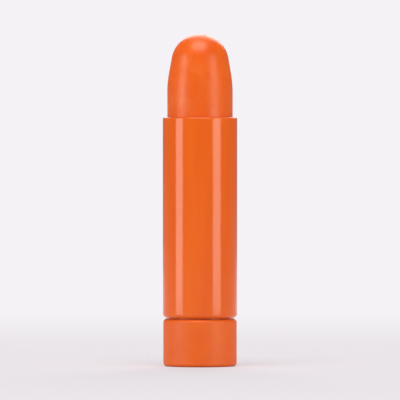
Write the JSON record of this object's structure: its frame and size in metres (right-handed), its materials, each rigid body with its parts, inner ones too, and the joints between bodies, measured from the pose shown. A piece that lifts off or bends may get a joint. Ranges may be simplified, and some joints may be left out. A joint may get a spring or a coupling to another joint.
{
  "type": "twist crayon",
  "caption": "Round twist-up gel crayon: glossy barrel, hollow rear collar that turns a lead screw, keyed carrier cup and a gel stick with a domed tip.",
  "frame": {"origin": "centre of the knob's rear rim, where the upright crayon stands", "axes": "+Z along the crayon's axis to the drawing tip; +Y through one of the three keys"},
  "size_m": [0.016, 0.016, 0.0715],
  "materials": {
    "barrel_plastic": "polished orange moulding",
    "knob_plastic": "satin orange moulding with a fine grain",
    "screw_plastic": "natural white moulding",
    "carrier_plastic": "natural white moulding",
    "gel": "soft waxy sheen"
  },
  "bodies": {
    "barrel": {"barrel": "barrel_plastic"},
    "knob": {"twist_knob": "knob_plastic", "lead_screw": "screw_plastic"},
    "stick": {"gel_stick": "gel", "carrier_cup": "carrier_plastic"}
  },
  "joints": [
    {"name": "knob_twist", "type": "hinge", "parent": "barrel", "child": "knob", "pos_m": [0, 0, 0.0051], "axis": [0, 0, 1], "range_deg": [-1333, 433]},
    {"name": "stick_slide", "type": "slide", "parent": "barrel", "child": "stick", "axis": [0, 0, 1], "range_m": [-0.0185, 0.006]}
  ],
  "couplings": [
    {"joint": "knob_twist", "follows": "stick_slide", "rad_per_m": 1256.6}
  ]
}
